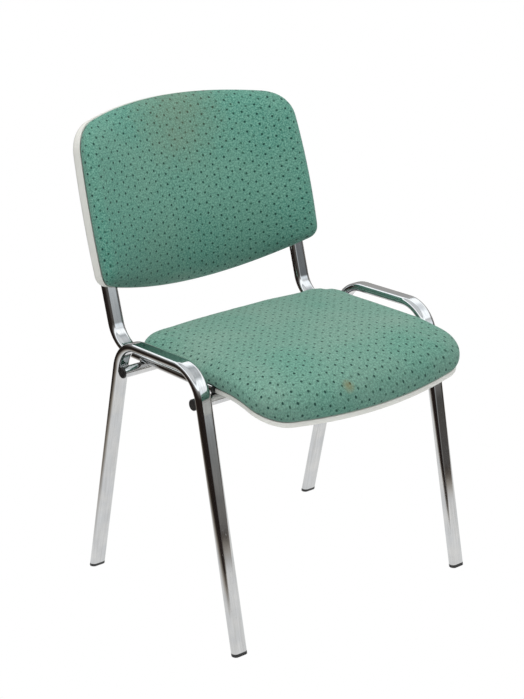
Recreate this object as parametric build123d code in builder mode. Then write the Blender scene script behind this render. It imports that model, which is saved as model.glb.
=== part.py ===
from build123d import *
import os
from math import atan, cos, degrees, radians, sin, sqrt, tan

os.makedirs("parts", exist_ok=True)

# ---------------------------------------------------------------------------
# Driving dimensions (mm). The sitter faces -Y, X runs across, the floor is Z = 0.
# The origin is the middle of the footprint of the whole chair, on the floor.
# ---------------------------------------------------------------------------
overall_width = 545.0  # over the outer faces of the side frames
overall_depth = 623.0  # from the seat's front lip to the top rear of the back

tube_width = 30.0  # flat-oval steel tube: side frames and back supports
tube_depth = 15.0
tube_wall = 1.5

foot_spread = 422.0  # between the front and the rear foot, on their centre lines
seat_overhang = 60.0  # how far the seat's lip stands ahead of the front feet
leg_lean = 12.4  # degrees, both legs of a side frame lean together at the top
rail_front_height = 480.5  # corner of the front leg's and the rail's centre lines
rail_fall = 2.75  # degrees, the rail drops towards the rear
leg_bend_radius = 60.0

cross_diameter = 20.0  # round tubes that tie the two side frames together
cross_wall = 1.5
cross_inset = 4.0  # from the frame's outer face in to the end of a cross tube's plug
cross_drop = 59.0  # from the rail's front corner down to the front cross tube's axis
weld_gap = 0.1  # between tubes that are welded together
seat_fall = 1.5  # degrees, the seat plane drops towards the rear

support_inset = 57.0  # from the frame's outer face to a back support's centre line
support_bend_radius = 55.0
support_reach = 0.5  # how far a support runs on ahead of the front cross tube's axis
support_top = 245.0  # how far a support climbs inside the back, from its lower corners

glide_flange = 5.5  # plastic foot inserts
glide_stem = 24.0
plug_head = 3.5  # plastic end plugs
support_plug_head = 2.0
plug_stem = 16.0
plug_round = 1.6
plug_play = 0.3  # between a stem and the bore that it is pushed into

# Seat: an under-pan, a moulded plywood board and a cushion of foam in a cloth cover.
seat_depth = 409.0
seat_front_margin = 42.0  # from the frame's outer face to the seat's front corner
seat_waist_margin = 46.0  # and to its waist
seat_rear_margin = 44.0  # and to its rear corner
seat_waist_back = 133.0  # from the lip to the waist
seat_front_bow = 27.0  # how far the lip bows forward between the front corners
seat_rear_bow = 14.0
seat_front_corner = 59.0  # corner radii of the seat in plan
seat_waist_radius = 320.0
seat_rear_corner = 60.0
waterfall_run = 143.0  # the front of the seat curves down over this length
waterfall_radius = 280.0
lip_drop = 6.0  # from the board's carrying face down to the pan's lip
pan_inset = 4.0  # the cloth bulges over the pan's rim by this
pan_skirt = 7.5  # height of the plastic seen below the cloth
pan_wall = 2.4
tube_room = 1.0  # around a tube where it passes through a plastic part
board_thickness = 11.0
band_margin = 11.0  # a layer's band runs on this far past the seat's outline
board_inset = 5.4
cover_inset = 0.6  # the back's cloth stands back from the shell's edge by this
soft_gap = 0.3  # between a soft piece and what it lies against
seat_pad_height = 46.0  # height of the cushion over the lip
seat_pad_round = 28.0  # rounding of the cushion's top edge

# Back: a moulded rear shell, a plywood panel and a cushion of foam in a cloth cover.
back_lean = 16.3  # degrees
back_lower_height = 529.0  # of the lower corners of the back's border
back_bottom_margin = 29.5  # from the frame's outer face to the back's lower corner
back_top_margin = 38.0
back_corner_height = 274.0  # from the lower to the upper corners, along the back
back_bottom_bow = 33.0
back_top_bow = 35.0
back_side_bow = 6.0
back_bottom_corner = 24.0
back_top_corner = 62.0
back_wrap_radius = 510.0  # the back curves round the sitter
shell_depth = 24.5
shell_wall = 2.5
shell_round = 18.0
support_room = 1.0  # between a support and the shell's rear wall
panel_thickness = 12.0
panel_inset = 6.0
panel_set = 2.5  # how far the panel's rear face lies behind the cloth's border
back_pad_height = 33.0  # height of the cushion over the shell's edge
back_pad_bevel = 12.0  # slope round the cushion's front

# Fasteners.
bolt_diameter = 6.0
bolt_clearance = 0.3  # on the radius, in the holes that bolts pass through
bolt_play = 0.1  # and in the nuts
bolt_head_diameter = 10.5
bolt_head_height = 2.4
bolt_key = 4.0  # across the corners of the hexagon socket
bolt_key_depth = 1.6
nut_barrel_diameter = 8.0
nut_barrel_height = 7.0
nut_flange_diameter = 11.0
nut_flange_thickness = 1.2
nut_play = 0.1  # on the radius, between a nut and its hole in the wood
seat_bolt_inset = 7.5  # from a support's centre line in to its seat bolts
seat_bolt_front = 40.0  # from the front cross tube's axis to the front seat bolts
seat_bolt_pitch = 112.0
back_bolt_low = 45.0  # heights of the back bolts over the border's lower corners
back_bolt_pitch = 150.0
post_diameter = 11.0  # posts in the shell that the cover screws go through
post_spread = 250.0
post_low = 60.0
post_pitch = 165.0
screw_diameter = 4.0
screw_head_diameter = 7.6
screw_head_height = 2.6
screw_room = 0.4  # on the radius, around a screw in its post
screw_key = 2.4  # across the corners of the socket in a cover screw
screw_bite = 6.0  # how deep a cover screw goes into the panel

# ---------------------------------------------------------------------------
# Places that follow from the sizes.
# ---------------------------------------------------------------------------
frame_x = (overall_width - tube_width) / 2
support_x = overall_width / 2 - support_inset
seat_bolt_x = support_x - seat_bolt_inset
cross_height = rail_front_height - cross_drop
cross_radius = cross_diameter / 2
half_tube = tube_depth / 2
seat_front_y = -overall_depth / 2
front_foot_y = seat_front_y + seat_overhang
rear_foot_y = front_foot_y + foot_spread
lean_slope = tan(radians(leg_lean))


def meet_rear_leg(y, z, fall, foot_y):
    """Where a line falling rearwards from (y, z) meets a rear leg that stands at foot_y."""
    slope = tan(radians(fall))
    height = (z - slope * (foot_y - y)) / (1 - slope * lean_slope)
    return foot_y - height * lean_slope, height


# Side frame corners, where the straight centre lines of legs and rail would meet.
rail_front_y = front_foot_y + rail_front_height * lean_slope
rail_rear_y, rail_rear_height = meet_rear_leg(
    rail_front_y, rail_front_height, rail_fall, rear_foot_y
)

# The cross tubes touch the inner faces of the legs.
leg_to_cross = half_tube + cross_radius + weld_gap
cross_shift = leg_to_cross / cos(radians(leg_lean))
front_cross_y = front_foot_y + cross_height * lean_slope + cross_shift
rear_cross_y, rear_cross_height = meet_rear_leg(
    front_cross_y, cross_height, seat_fall, rear_foot_y - cross_shift
)
cross_end = overall_width / 2 - cross_inset - plug_head

# Seat plane: lies along both cross axes; local Y runs rearwards, local Z up.
seat_plane = Plane(
    origin=(0, front_cross_y, cross_height),
    x_dir=(1, 0, 0),
    z_dir=(0, sin(radians(seat_fall)), cos(radians(seat_fall))),
)
run_height = cross_radius + weld_gap + half_tube  # centre line of the supports' lower run
carry_height = run_height + half_tube  # top of the supports, where the seat lies
lip_height = carry_height - lip_drop
skirt_bottom = (
    lip_height
    - pan_skirt
    - waterfall_radius
    + sqrt(waterfall_radius**2 - waterfall_run**2)
)
seat_front = (
    seat_front_y - front_cross_y - skirt_bottom * sin(radians(seat_fall))
) / cos(radians(seat_fall))
seat_rear = seat_front + seat_depth
waterfall_start = seat_front + waterfall_run
pan_cut_front = -support_reach - support_plug_head - tube_room
board_top = lip_drop + board_thickness  # over the lip
nut_hole = nut_barrel_diameter + 2 * nut_play
nut_recess = nut_flange_diameter + 2 * nut_play

# Back plane: X across, local Y up along the back, local Z forwards to the sitter.
# Its highest rear edge is the rearmost point of the chair.
lean_sin = sin(radians(back_lean))
lean_cos = cos(radians(back_lean))
back_height = back_corner_height + back_top_bow
back_lower_y = (
    overall_depth / 2
    - (back_height - shell_round) * lean_sin
    - (shell_depth - shell_round) * lean_cos
    - shell_round
)
back_plane = Plane(
    origin=(0, back_lower_y, back_lower_height),
    x_dir=(1, 0, 0),
    z_dir=(0, -lean_cos, lean_sin),
)
shell_inside = back_wrap_radius + shell_depth - shell_wall
oval_flat = (tube_width - tube_depth) / 2  # from a flat oval's middle to its round end's axis
support_depth = back_wrap_radius - sqrt(
    (shell_inside - support_room - half_tube) ** 2 - (support_x + oval_flat) ** 2
)
panel_rear = back_wrap_radius + panel_set
panel_front = panel_rear - panel_thickness
post_rear = back_wrap_radius - sqrt(
    (back_wrap_radius + shell_depth) ** 2 - (post_spread + post_diameter) ** 2 / 4
)
screw_seat = post_rear + screw_head_height
post_front = back_wrap_radius - sqrt(panel_rear**2 - post_spread**2 / 4)
screw_tip = post_front + screw_bite


def seat_point(x, y, z):
    """A point given in the seat plane, in the chair's own frame."""
    return seat_plane.from_local_coords((x, y, z))


def back_point(x, y, z):
    """A point given in the back plane, in the chair's own frame."""
    return back_plane.from_local_coords((x, y, z))


def seat_location(x, y, z):
    """A place in the seat plane, turned with it."""
    return seat_plane.location * Location((x, y, z))


def back_location(x, y, z):
    """A place in the back plane, turned with it."""
    return back_plane.location * Location((x, y, z))


# A support's corner: its upright's line runs on down to its lower run's line.
upright = back_point(support_x, 0, support_depth)
upright_slope = lean_sin / lean_cos
run_slope = tan(radians(seat_fall))
run_start = seat_point(support_x, -support_reach, run_height)
corner_z = (
    run_start.Z - run_slope * (upright.Y - upright.Z * upright_slope - run_start.Y)
) / (1 + run_slope * upright_slope)
corner_y = upright.Y + (corner_z - upright.Z) * upright_slope
upright_end = back_point(support_x, support_top, support_depth)


def flat_oval_tube(corners, bend_radius):
    """A bent flat-oval tube, open at both ends, with its wide faces across X."""
    with BuildPart() as tube:
        with BuildLine() as centre_line:
            FilletPolyline(*corners, radius=bend_radius)
        start = Plane(
            origin=centre_line.line @ 0, x_dir=(1, 0, 0), z_dir=centre_line.line % 0
        )
        with BuildSketch(start):
            SlotOverall(tube_width, tube_depth)
            SlotOverall(
                tube_width - 2 * tube_wall,
                tube_depth - 2 * tube_wall,
                mode=Mode.SUBTRACT,
            )
        sweep(path=centre_line.line)
    return tube.part


bolt_hole = bolt_diameter + 2 * bolt_clearance
seat_bolt_places = [
    (side * seat_bolt_x, seat_bolt_front + row * seat_bolt_pitch)
    for row in (0, 1)
    for side in (-1, 1)
]
back_bolt_places = [
    (side * support_x, back_bolt_low + row * back_bolt_pitch)
    for row in (0, 1)
    for side in (-1, 1)
]
post_places = [
    (side * post_spread / 2, post_low + row * post_pitch)
    for row in (0, 1)
    for side in (-1, 1)
]

# ---------------------------------------------------------------------------
# Side frames: one tube each, bent into front leg, rail and rear leg.
# ---------------------------------------------------------------------------
for side_name, side in (("left", -1), ("right", 1)):
    side_x = side * frame_x
    below_floor = tube_depth  # the legs start below the floor and are cut off level
    with BuildPart() as side_frame:
        add(
            flat_oval_tube(
                [
                    (side_x, front_foot_y - below_floor * lean_slope, -below_floor),
                    (side_x, rail_front_y, rail_front_height),
                    (side_x, rail_rear_y, rail_rear_height),
                    (side_x, rear_foot_y + below_floor * lean_slope, -below_floor),
                ],
                leg_bend_radius,
            )
        )
        split(bisect_by=Plane.XY.offset(glide_flange), keep=Keep.TOP)
    side_frame.part.label = f"{side_name}_side_frame"
    export_step(side_frame.part, f"parts/{side_name}_side_frame.step")

    # A plastic glide closes each leg and stands on the floor.
    for end_name, foot_y, lean in (("front", front_foot_y, 1), ("rear", rear_foot_y, -1)):
        leg_direction = (0, lean * sin(radians(leg_lean)), cos(radians(leg_lean)))
        foot = Vector(side_x, foot_y, 0)
        with BuildPart() as glide:
            with BuildSketch(Plane(origin=foot, x_dir=(1, 0, 0), z_dir=leg_direction)):
                SlotOverall(tube_width, tube_depth)
            extrude(amount=tube_depth, both=True)
            split(bisect_by=Plane.XY, keep=Keep.TOP)
            split(bisect_by=Plane.XY.offset(glide_flange), keep=Keep.BOTTOM)
            stem_start = foot + Vector(*leg_direction) * (glide_flange / 2)
            with BuildSketch(Plane(origin=stem_start, x_dir=(1, 0, 0), z_dir=leg_direction)):
                SlotOverall(
                    tube_width - 2 * (tube_wall + plug_play),
                    tube_depth - 2 * (tube_wall + plug_play),
                )
            extrude(amount=glide_stem)
        glide_name = f"{end_name}_{side_name}_glide"
        glide.part.label = glide_name
        export_step(glide.part, f"parts/{glide_name}.step")

# ---------------------------------------------------------------------------
# Cross tubes, welded behind the front legs and ahead of the rear legs, and
# the domed plugs that close their ends.
# ---------------------------------------------------------------------------
for end_name, cross_y, cross_z in (
    ("front", front_cross_y, cross_height),
    ("rear", rear_cross_y, rear_cross_height),
):
    with BuildPart() as cross_tube:
        with BuildSketch(Plane(origin=(0, cross_y, cross_z), z_dir=(1, 0, 0))):
            Circle(cross_radius)
            Circle(cross_radius - cross_wall, mode=Mode.SUBTRACT)
        extrude(amount=cross_end, both=True)
    cross_tube.part.label = f"{end_name}_cross_tube"
    export_step(cross_tube.part, f"parts/{end_name}_cross_tube.step")

    for side_name, side in (("left", -1), ("right", 1)):
        plug_plane = Plane(origin=(side * cross_end, cross_y, cross_z), z_dir=(side, 0, 0))
        with BuildPart() as tube_plug:
            with BuildSketch(plug_plane):
                Circle(cross_radius)
            extrude(amount=plug_head)
            outer_rim = tube_plug.edges().sort_by(Axis.X)[-1 if side > 0 else 0]
            fillet(outer_rim, radius=plug_round)
            with BuildSketch(plug_plane):
                Circle(cross_radius - cross_wall - plug_play)
            extrude(amount=-plug_stem)
        plug_name = f"{end_name}_{side_name}_tube_plug"
        tube_plug.part.label = plug_name
        export_step(tube_plug.part, f"parts/{plug_name}.step")

# ---------------------------------------------------------------------------
# Back supports: each lies on both cross tubes under the seat, bends up behind
# it and climbs inside the back.
# ---------------------------------------------------------------------------
for side_name, side in (("left", -1), ("right", 1)):
    side_x = side * support_x
    start = seat_point(side_x, -support_reach, run_height)
    with BuildPart() as back_support:
        add(
            flat_oval_tube(
                [
                    (side_x, start.Y, start.Z),
                    (side_x, corner_y, corner_z),
                    (side_x, upright_end.Y, upright_end.Z),
                ],
                support_bend_radius,
            )
        )
        with Locations(*[seat_location(x, y, run_height) for x, y in seat_bolt_places]):
            Cylinder(bolt_hole / 2, 2 * tube_depth, mode=Mode.SUBTRACT)
        with Locations(*[back_location(x, y, support_depth) for x, y in back_bolt_places]):
            Cylinder(bolt_hole / 2, 2 * tube_depth, mode=Mode.SUBTRACT)
    back_support.part.label = f"{side_name}_back_support"
    export_step(back_support.part, f"parts/{side_name}_back_support.step")

    plug_plane = Plane(origin=start, x_dir=(1, 0, 0), z_dir=-seat_plane.y_dir)
    with BuildPart() as support_plug:
        with BuildSketch(plug_plane):
            SlotOverall(tube_width, tube_depth)
        extrude(amount=support_plug_head)
        outer_rim = support_plug.faces().sort_by(Axis.Y)[0].edges()
        fillet(outer_rim, radius=plug_round)
        with BuildSketch(plug_plane):
            SlotOverall(
                tube_width - 2 * (tube_wall + plug_play),
                tube_depth - 2 * (tube_wall + plug_play),
            )
        extrude(amount=-plug_stem)
    plug_name = f"{side_name}_support_plug"
    support_plug.part.label = plug_name
    export_step(support_plug.part, f"parts/{plug_name}.step")

# ---------------------------------------------------------------------------
# Shapes shared by the parts of the seat. They are drawn in the seat plane.
# ---------------------------------------------------------------------------
def seat_outline(inset):
    """The seat seen from above: bowed lip, waisted sides, round rear corners."""
    front_half = overall_width / 2 - seat_front_margin
    waist_half = overall_width / 2 - seat_waist_margin
    rear_half = overall_width / 2 - seat_rear_margin
    front_corner = seat_front + seat_front_bow
    waist = seat_front + seat_waist_back
    rear_corner = seat_rear - seat_rear_bow
    with BuildSketch() as outline:
        with BuildLine():
            ThreePointArc(
                (-front_half, front_corner), (0, seat_front), (front_half, front_corner)
            )
            Polyline(
                (front_half, front_corner), (waist_half, waist), (rear_half, rear_corner)
            )
            ThreePointArc(
                (rear_half, rear_corner), (0, seat_rear), (-rear_half, rear_corner)
            )
            Polyline(
                (-rear_half, rear_corner),
                (-waist_half, waist),
                (-front_half, front_corner),
            )
        make_face()
        rows = outline.vertices().group_by(Axis.Y)
        fillet(rows[0], radius=seat_front_corner)
        fillet(outline.vertices().group_by(Axis.Y)[-1], radius=seat_rear_corner)
        at_waist = outline.vertices().filter_by(lambda v: abs(v.Y - waist) < 1)
        fillet(at_waist, radius=seat_waist_radius)
        if inset > 0:
            offset(amount=-inset, kind=Kind.INTERSECTION)
    return outline.sketch


def waterfall_band(low, high):
    """Everything between two heights over the lip line, which falls at the front."""
    bow_centre = lip_height - waterfall_radius
    run = waterfall_run + band_margin
    edges = []
    for height in (low, high):
        radius = waterfall_radius + height
        edges.append(
            (
                (waterfall_start - run, bow_centre + sqrt(radius**2 - run**2)),
                (waterfall_start - run / 2, bow_centre + sqrt(radius**2 - run**2 / 4)),
                (waterfall_start, bow_centre + radius),
                (seat_rear + band_margin, bow_centre + radius),
            )
        )
    bottom, top = edges
    with BuildPart() as band:
        with BuildSketch(Plane.YZ):
            with BuildLine():
                ThreePointArc(*bottom[:3])
                Line(bottom[2], bottom[3])
                Line(bottom[3], top[3])
                Line(top[3], top[2])
                ThreePointArc(*top[2::-1])
                Line(top[0], bottom[0])
            make_face()
        extrude(amount=overall_width / 2, both=True)
    return band.part


def seat_layer(inset, low, high):
    """A layer of the seat between two heights over the lip."""
    with BuildPart() as layer:
        with BuildSketch():
            add(seat_outline(inset))
        extrude(amount=seat_depth / 2, both=True)
        add(waterfall_band(low, high), mode=Mode.INTERSECT)
    return layer.part


with BuildPart() as seat_pan:
    add(seat_layer(pan_inset, -pan_skirt, 0))
    inside = pan_inset + pan_wall
    add(seat_layer(inside, -pan_skirt + pan_wall, pan_skirt), mode=Mode.SUBTRACT)
    # Floor and skirt are cut away where the supports run.
    with BuildSketch():
        with Locations((-support_x, pan_cut_front), (support_x, pan_cut_front)):
            Rectangle(
                tube_width + 2 * tube_room, seat_depth, align=(Align.CENTER, Align.MIN)
            )
    extrude(amount=lip_height + pan_skirt, mode=Mode.SUBTRACT)
seat_pan.part.location = seat_plane.location
seat_pan.part.label = "seat_pan"
export_step(seat_pan.part, "parts/seat_pan.step")

with BuildPart() as seat_board:
    add(seat_layer(board_inset, lip_drop, board_top))
    with Locations(*[(x, y, lip_height + board_top) for x, y in seat_bolt_places]):
        CounterBoreHole(nut_hole / 2, nut_recess / 2, nut_flange_thickness)
seat_board.part.location = seat_plane.location
seat_board.part.label = "seat_board"
export_step(seat_board.part, "parts/seat_board.step")

# The cushion is wrapped over the board; its border stands on the pan's lip and
# on the supports.
with BuildPart() as seat_cushion:
    add(seat_layer(0, soft_gap, seat_pad_height))
    top_arc = seat_cushion.faces().filter_by(
        lambda f: f.center().Z > lip_height + seat_pad_height / 2
        and abs(f.center().X) < 1
        and f.normal_at().Z > 0.5
    )
    upper = [e for f in top_arc for e in f.edges()]
    rim = [e for e in upper if sum(e.is_same(o) for o in upper) == 1]
    fillet(rim, radius=seat_pad_round)
    add(
        seat_layer(board_inset - soft_gap, -pan_skirt, board_top + soft_gap),
        mode=Mode.SUBTRACT,
    )
    with BuildSketch(Plane.XZ.offset(support_reach + support_plug_head + soft_gap)):
        with Locations((-support_x, run_height), (support_x, run_height)):
            SlotOverall(tube_width + 2 * soft_gap, tube_depth + 2 * soft_gap)
    extrude(amount=-2 * seat_depth, mode=Mode.SUBTRACT)
seat_cushion.part.location = seat_plane.location
seat_cushion.part.label = "seat_cushion"
export_step(seat_cushion.part, "parts/seat_cushion.step")


def bolt_with_head(length, head_diameter, shank_diameter, head_height, key):
    """A button-head bolt: head below Z = 0, shank up from it, socket in the head."""
    with BuildPart() as bolt:
        with BuildSketch():
            Circle(head_diameter / 2)
        extrude(amount=-head_height)
        fillet(bolt.edges().sort_by(Axis.Z)[0], radius=head_height / 2)
        with BuildSketch():
            Circle(shank_diameter / 2)
        extrude(amount=length)
        with BuildSketch(Plane.XY.offset(-head_height)):
            RegularPolygon(key / 2, 6)
        extrude(amount=bolt_key_depth, mode=Mode.SUBTRACT)
    return bolt.part


def flanged_nut():
    """A press-in nut: flange above Z = 0, barrel down from it, drilled through."""
    with BuildPart() as nut:
        with BuildSketch():
            Circle(nut_flange_diameter / 2)
        extrude(amount=nut_flange_thickness)
        with BuildSketch():
            Circle(nut_barrel_diameter / 2)
        extrude(amount=-nut_barrel_height)
        with Locations((0, 0, nut_flange_thickness)):
            Hole(bolt_diameter / 2 + bolt_play)
    return nut.part


# Four bolts pass up through the supports into nuts pressed into the board.
run_under = run_height - half_tube
seat_bolt_length = tube_depth + board_thickness - nut_flange_thickness
with BuildPart() as seat_bolts:
    bolt = bolt_with_head(
        seat_bolt_length, bolt_head_diameter, bolt_diameter, bolt_head_height, bolt_key
    )
    for x, y in seat_bolt_places:
        add(seat_location(x, y, run_under) * bolt)
seat_bolts.part.label = "seat_bolts"
export_step(seat_bolts.part, "parts/seat_bolts.step")

with BuildPart() as seat_nuts:
    nut_z = lip_height + board_top - nut_flange_thickness
    for x, y in seat_bolt_places:
        add(seat_location(x, y, nut_z) * flanged_nut())
seat_nuts.part.label = "seat_nuts"
export_step(seat_nuts.part, "parts/seat_nuts.step")


# ---------------------------------------------------------------------------
# Shapes shared by the parts of the back. They are drawn in the back plane.
# ---------------------------------------------------------------------------
def arc_disc(half_chord, bow, inset):
    """Radius of the disc whose edge bows over a chord, less the inset."""
    return (half_chord**2 + bow**2) / (2 * bow) - inset


def back_outline(inset):
    """The back seen from the front: arched edges, full sides, round upper corners."""
    low_half = overall_width / 2 - back_bottom_margin
    high_half = overall_width / 2 - back_top_margin
    side_lean = degrees(atan((low_half - high_half) / back_corner_height))
    bottom = arc_disc(low_half, back_bottom_bow, 0)
    top = arc_disc(high_half, back_top_bow, 0)
    side = arc_disc(back_corner_height / 2, back_side_bow, 0)
    middle = Vector((low_half + high_half) / 2, back_corner_height / 2)
    inward = Vector(-cos(radians(side_lean)), -sin(radians(side_lean)))
    side_centre = middle + inward * (side - back_side_bow)
    with BuildSketch() as outline:
        with Locations((0, bottom - back_bottom_bow)):
            Circle(bottom - inset)
        with Locations((0, back_height - top)):
            Circle(top - inset, mode=Mode.INTERSECT)
        with Locations((side_centre.X, side_centre.Y)):
            Circle(side - inset, mode=Mode.INTERSECT)
        with Locations((-side_centre.X, side_centre.Y)):
            Circle(side - inset, mode=Mode.INTERSECT)
        rows = outline.vertices().group_by(Axis.Y)
        fillet(rows[0], radius=back_bottom_corner - inset)
        fillet(outline.vertices().group_by(Axis.Y)[-1], radius=back_top_corner - inset)
    return outline.sketch


def wrapped_layer(inset, front_radius, rear_radius):
    """A layer of the back between two cylinders about the axis that it wraps round."""
    with BuildPart() as layer:
        with BuildSketch():
            add(back_outline(inset))
        extrude(amount=back_wrap_radius / 2, both=True)
        with BuildSketch(Plane.XZ):
            with Locations((0, back_wrap_radius)):
                Circle(rear_radius)
                Circle(front_radius, mode=Mode.SUBTRACT)
        extrude(amount=back_wrap_radius, both=True, mode=Mode.INTERSECT)
    return layer.part


def shell_block(inset, front_radius, rear_radius, rounding):
    """A layer of the back whose rear edge is rounded over."""
    with BuildPart() as block:
        add(wrapped_layer(inset, front_radius, rear_radius))
        fillet(block.faces().sort_by(Axis.Z)[0].edges(), radius=rounding)
    return block.part


# The shell: a shallow tray whose open side faces the sitter. The supports come
# in through notches in its lower wall; cover screws go in through its posts.
with BuildPart() as back_shell:
    add(
        shell_block(
            0, back_wrap_radius, back_wrap_radius + shell_depth, shell_round
        )
    )
    add(
        shell_block(
            shell_wall,
            back_wrap_radius - shell_depth,
            shell_inside,
            shell_round - shell_wall,
        ),
        mode=Mode.SUBTRACT,
    )
    with BuildSketch():
        with Locations(*post_places):
            Circle(post_diameter / 2)
    posts = extrude(amount=shell_depth, both=True, mode=Mode.PRIVATE)
    reach = wrapped_layer(
        panel_inset, panel_rear + soft_gap, back_wrap_radius + shell_depth - soft_gap
    )
    add(posts & reach)
    with BuildSketch(Plane.XY.offset(screw_seat)):
        with Locations(*post_places):
            Circle(screw_head_diameter / 2 + screw_room)
    extrude(amount=-shell_depth, mode=Mode.SUBTRACT)
    with BuildSketch():
        with Locations(*post_places):
            Circle(screw_diameter / 2 + screw_room)
    extrude(amount=shell_depth, both=True, mode=Mode.SUBTRACT)
    with BuildSketch(Plane.XZ.offset(-2 * shell_round)):
        with Locations((-support_x, support_depth), (support_x, support_depth)):
            SlotOverall(tube_width + 2 * tube_room, tube_depth + 2 * tube_room)
    extrude(amount=2 * shell_round + back_bottom_bow, mode=Mode.SUBTRACT)
back_shell.part.location = back_plane.location
back_shell.part.label = "back_shell"
export_step(back_shell.part, "parts/back_shell.step")

# The panel: moulded plywood. Its channels lie flat on the supports and its
# front has a flat recess for each nut.
channel_floor = support_depth + half_tube
nut_front = channel_floor + nut_barrel_height
with BuildPart() as back_panel:
    add(wrapped_layer(panel_inset, panel_front, panel_rear))
    with BuildSketch(Plane.XZ.offset(2 * back_bottom_bow)):
        with Locations((-support_x, channel_floor), (support_x, channel_floor)):
            Rectangle(
                tube_width + 2 * soft_gap,
                tube_width,
                align=(Align.CENTER, Align.MAX),
            )
    channel_length = 2 * back_bottom_bow + support_top + tube_room
    extrude(amount=-channel_length, mode=Mode.SUBTRACT)
    with Locations(*[(x, y, nut_front) for x, y in back_bolt_places]):
        Cylinder(
            nut_recess / 2,
            tube_width,
            align=(Align.CENTER, Align.CENTER, Align.MIN),
            mode=Mode.SUBTRACT,
        )
        Cylinder(nut_hole / 2, 2 * tube_width, mode=Mode.SUBTRACT)
    with BuildSketch():
        with Locations(*post_places):
            Circle(screw_diameter / 2 + bolt_play)
    extrude(amount=screw_tip + bolt_play, mode=Mode.SUBTRACT)
back_panel.part.location = back_plane.location
back_panel.part.label = "back_panel"
export_step(back_panel.part, "parts/back_panel.step")

# The cushion is wrapped over the panel; its border stands on the shell's edge.
with BuildPart() as back_cushion:
    add(
        wrapped_layer(
            cover_inset, back_wrap_radius - back_pad_height, back_wrap_radius - soft_gap
        )
    )
    front_face = back_cushion.faces().filter_by(GeomType.CYLINDER).filter_by(
        lambda f: abs(f.radius - back_wrap_radius + back_pad_height) < 1
    )
    chamfer(front_face.sort_by(SortBy.AREA)[-1].edges(), length=back_pad_bevel)
    add(
        wrapped_layer(
            panel_inset - soft_gap, panel_front - soft_gap, back_wrap_radius + shell_depth
        ),
        mode=Mode.SUBTRACT,
    )
back_cushion.part.location = back_plane.location
back_cushion.part.label = "back_cushion"
export_step(back_cushion.part, "parts/back_cushion.step")

# Four bolts pass through the supports into nuts pressed into the panel.
support_rear = support_depth - half_tube
with BuildPart() as back_bolts:
    bolt = bolt_with_head(
        tube_depth + nut_barrel_height,
        bolt_head_diameter,
        bolt_diameter,
        bolt_head_height,
        bolt_key,
    )
    for x, y in back_bolt_places:
        add(back_location(x, y, support_rear) * bolt)
back_bolts.part.label = "back_bolts"
export_step(back_bolts.part, "parts/back_bolts.step")

with BuildPart() as back_nuts:
    for x, y in back_bolt_places:
        add(back_location(x, y, nut_front) * flanged_nut())
back_nuts.part.label = "back_nuts"
export_step(back_nuts.part, "parts/back_nuts.step")

# Four cover screws hold the shell on the panel.
with BuildPart() as cover_screws:
    screw = bolt_with_head(
        screw_tip - screw_seat,
        screw_head_diameter,
        screw_diameter,
        screw_head_height,
        screw_key,
    )
    for x, y in post_places:
        add(back_location(x, y, screw_seat) * screw)
cover_screws.part.label = "cover_screws"
export_step(cover_screws.part, "parts/cover_screws.step")
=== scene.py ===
import math

import bpy
import numpy as np
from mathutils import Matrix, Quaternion, Vector, geometry


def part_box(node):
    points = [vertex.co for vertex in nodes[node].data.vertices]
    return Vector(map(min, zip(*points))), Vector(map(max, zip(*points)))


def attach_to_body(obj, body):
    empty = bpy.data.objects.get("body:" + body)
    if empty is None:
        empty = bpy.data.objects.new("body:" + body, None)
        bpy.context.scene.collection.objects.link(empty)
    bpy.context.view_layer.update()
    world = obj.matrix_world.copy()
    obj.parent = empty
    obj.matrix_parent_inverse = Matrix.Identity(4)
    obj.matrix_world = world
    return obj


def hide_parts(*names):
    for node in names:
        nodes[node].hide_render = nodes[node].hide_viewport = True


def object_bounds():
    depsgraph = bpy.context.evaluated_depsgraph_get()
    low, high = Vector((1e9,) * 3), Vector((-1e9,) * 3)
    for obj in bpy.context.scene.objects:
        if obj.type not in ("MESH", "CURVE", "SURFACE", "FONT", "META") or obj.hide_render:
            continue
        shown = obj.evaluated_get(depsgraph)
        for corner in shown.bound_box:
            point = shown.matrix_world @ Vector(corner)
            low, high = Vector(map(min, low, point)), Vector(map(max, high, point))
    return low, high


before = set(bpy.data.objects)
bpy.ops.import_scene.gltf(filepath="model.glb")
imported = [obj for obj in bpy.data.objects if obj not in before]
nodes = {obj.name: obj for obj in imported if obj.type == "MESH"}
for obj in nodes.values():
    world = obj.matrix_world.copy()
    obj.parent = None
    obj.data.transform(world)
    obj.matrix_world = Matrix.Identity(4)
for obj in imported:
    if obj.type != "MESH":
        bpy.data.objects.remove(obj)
cad_low, cad_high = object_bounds()


# Side frames: on each side one flat-oval steel tube, 30 x 15 mm, makes the front leg, the
# rail and the rear leg. It is bent twice, cut level at its ends, polished and chrome plated,
# so it mirrors the room with faint haze, fine streaks, dull specks and a little waviness.
def linear(code):
    channels = [int(code[i : i + 2], 16) / 255 for i in (1, 3, 5)]
    return [c / 12.92 if c <= 0.04045 else ((c + 0.055) / 1.055) ** 2.4 for c in channels] + [1.0]


def add_node(tree, kind, **values):
    """Keys are the node's settings, its input names (with _ for a space) or i0, i1, ..."""
    node = tree.nodes.new(kind)
    for key, value in values.items():
        if hasattr(node, key):
            setattr(node, key, value)
            continue
        socket = node.inputs[int(key[1:])] if key[1:].isdigit() else node.inputs[key.replace("_", " ")]
        if isinstance(value, bpy.types.NodeSocket):
            tree.links.new(value, socket)
        else:
            socket.default_value = value
    return node


def calc(tree, operation, a, b=0.0, c=0.0):
    return add_node(tree, "ShaderNodeMath", operation=operation, i0=a, i1=b, i2=c).outputs[0]


def blend_colours(tree, factor, a, b, kind="MIX"):
    node = add_node(tree, "ShaderNodeMix", data_type="RGBA", blend_type=kind, i0=factor, i6=a, i7=b)
    return node.outputs[2]


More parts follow.
